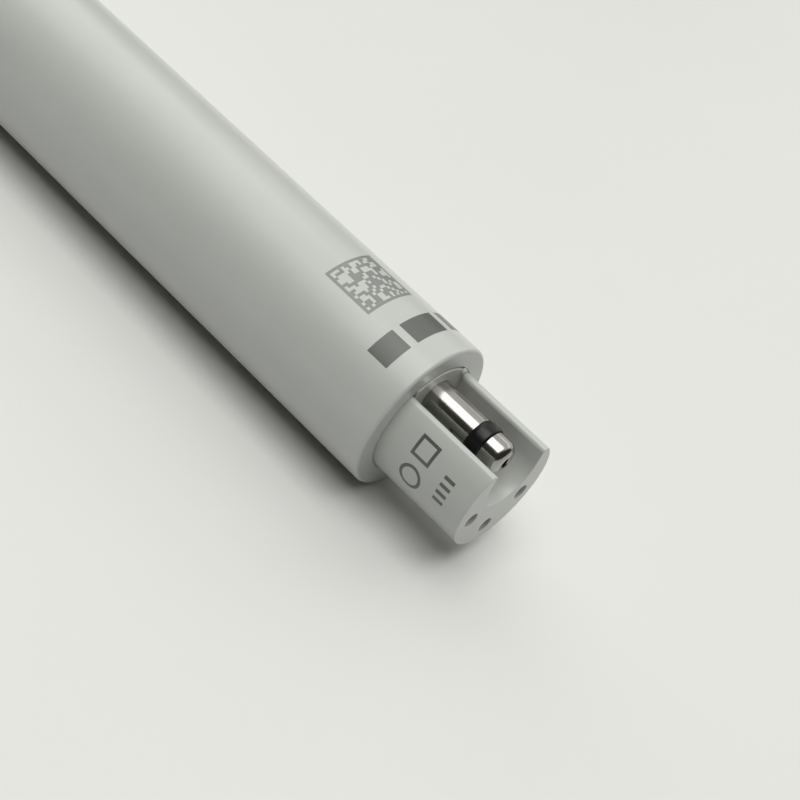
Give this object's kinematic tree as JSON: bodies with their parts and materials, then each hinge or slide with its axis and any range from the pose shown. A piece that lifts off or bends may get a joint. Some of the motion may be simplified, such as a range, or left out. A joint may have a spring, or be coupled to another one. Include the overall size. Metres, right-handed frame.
{
  "type": "ultrasonic scaler handpiece",
  "caption": "Round detachable dental handpiece with a keyed rear plug, water nipple, contact sockets, inner ultrasonic transducer and a lit nose.",
  "frame": {"origin": "centre of the shoulder ring at the rear of the sleeve, on the handpiece's axis, where the plug begins", "axes": "+X along the handpiece's axis towards the rear plug, +Z from the axis through the open side of the keyway, +Y completes the right hand"},
  "size_m": [0.1177, 0.018, 0.018],
  "materials": {
    "white_plastic": "satin",
    "plug_plastic": "satin",
    "gasket_grey": "matte",
    "carrier_plastic": "satin",
    "nipple_steel": "polished",
    "o_ring_rubber": "glossy",
    "contact_brass": "satin",
    "board_green": "matte",
    "tube_silicone": "satin",
    "carrier_ivory": "matte",
    "mass_steel": "turned",
    "piezo_ceramic": "matte",
    "electrode_brass": "satin",
    "bush_plastic": "satin",
    "bolt_steel": "turned",
    "horn_titanium": "turned",
    "lead_red": "satin",
    "lead_blue": "satin",
    "lamp_lens": "glossy",
    "clear_guide": "glossy"
  },
  "bodies": {
    "handpiece": {"outer_sleeve": "white_plastic", "rear_plug": "plug_plastic", "plug_gasket": "gasket_grey", "nipple_carrier": "carrier_plastic", "water_nipple": "nipple_steel", "nipple_o_ring": "o_ring_rubber", "contact_socket_left": "contact_brass", "contact_socket_right": "contact_brass", "contact_socket_lower": "contact_brass", "contact_board": "board_green", "water_tube": "tube_silicone", "transducer_carrier": "carrier_ivory", "back_mass": "mass_steel", "piezo_ring_1": "piezo_ceramic", "piezo_ring_2": "piezo_ceramic", "piezo_ring_3": "piezo_ceramic", "piezo_ring_4": "piezo_ceramic", "electrode_1": "electrode_brass", "electrode_2": "electrode_brass", "electrode_3": "electrode_brass", "electrode_4": "electrode_brass", "insulating_bush": "bush_plastic", "prestress_bolt": "bolt_steel", "horn": "horn_titanium", "node_ring_rear": "o_ring_rubber", "node_ring_front": "o_ring_rubber", "drive_lead_1": "lead_red", "drive_lead_2": "lead_red", "lamp_lead_1": "lead_blue", "lamp_lead_2": "lead_blue", "lamp_board": "board_green", "lamp_1": "lamp_lens", "lamp_2": "lamp_lens", "lamp_3": "lamp_lens", "lamp_4": "lamp_lens"},
    "nose_cap": {"nose_cap": "white_plastic", "nose_cap_ring": "o_ring_rubber"},
    "light_guide": {"light_guide": "clear_guide"}
  },
  "joints": [
    {"name": "nose_cap_pull", "type": "slide", "parent": "handpiece", "child": "nose_cap", "axis": [-1, 0, 0], "range_m": [0, 0.02]},
    {"name": "light_guide_pull", "type": "slide", "parent": "nose_cap", "child": "light_guide", "axis": [-1, 0, 0], "range_m": [0, 0.016]}
  ]
}
